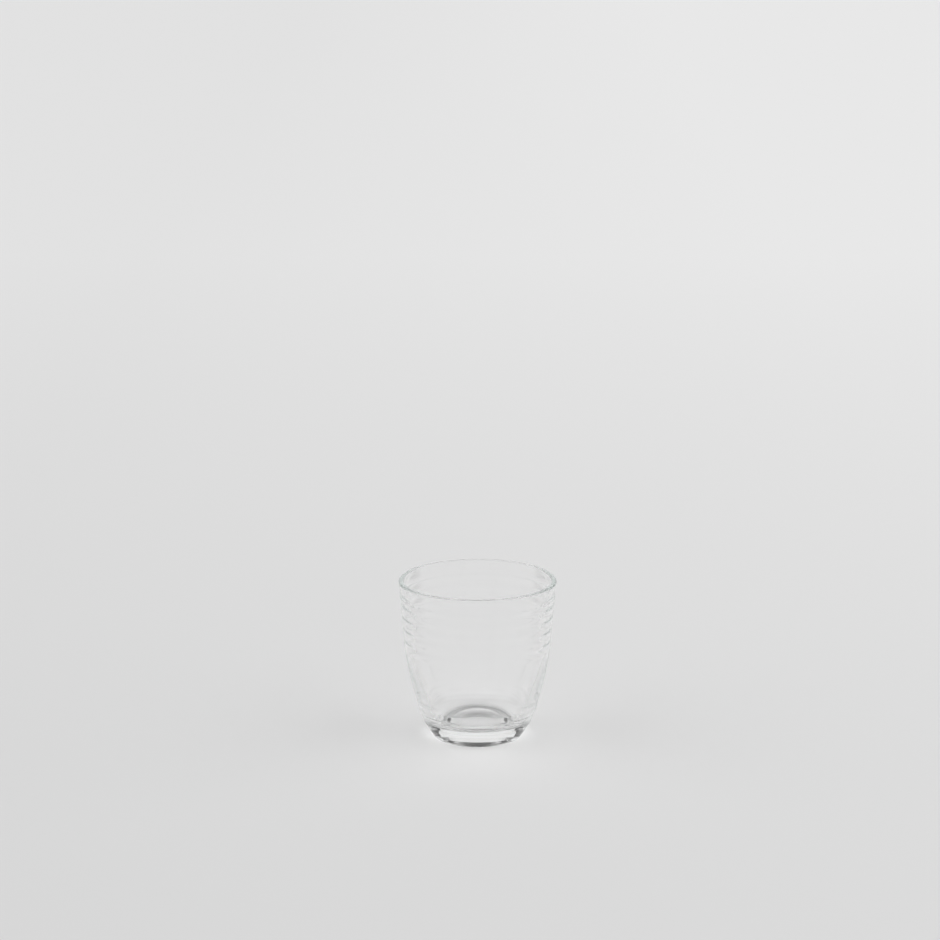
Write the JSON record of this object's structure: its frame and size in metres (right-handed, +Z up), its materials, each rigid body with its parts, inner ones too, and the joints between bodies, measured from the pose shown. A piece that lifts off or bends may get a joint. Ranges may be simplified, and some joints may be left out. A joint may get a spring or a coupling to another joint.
{
  "type": "juice glass",
  "caption": "Small clear pressed-glass juice tumbler with a polished rim, faintly ringed upper wall, rounded heel and tapered foot.",
  "frame": {"origin": "on the table, at the middle of the bearing ring, on the tumbler's axis", "axes": "+Z up along the tumbler's axis, out of its mouth; X and Y are free, since the tumbler is round"},
  "size_m": [0.076, 0.076, 0.078],
  "materials": {
    "clear_glass": "clear pressed soda-lime glass, fire-polished, faint green in the thick parts"
  },
  "bodies": {
    "root": {"tumbler": "clear_glass"}
  },
  "joints": []
}
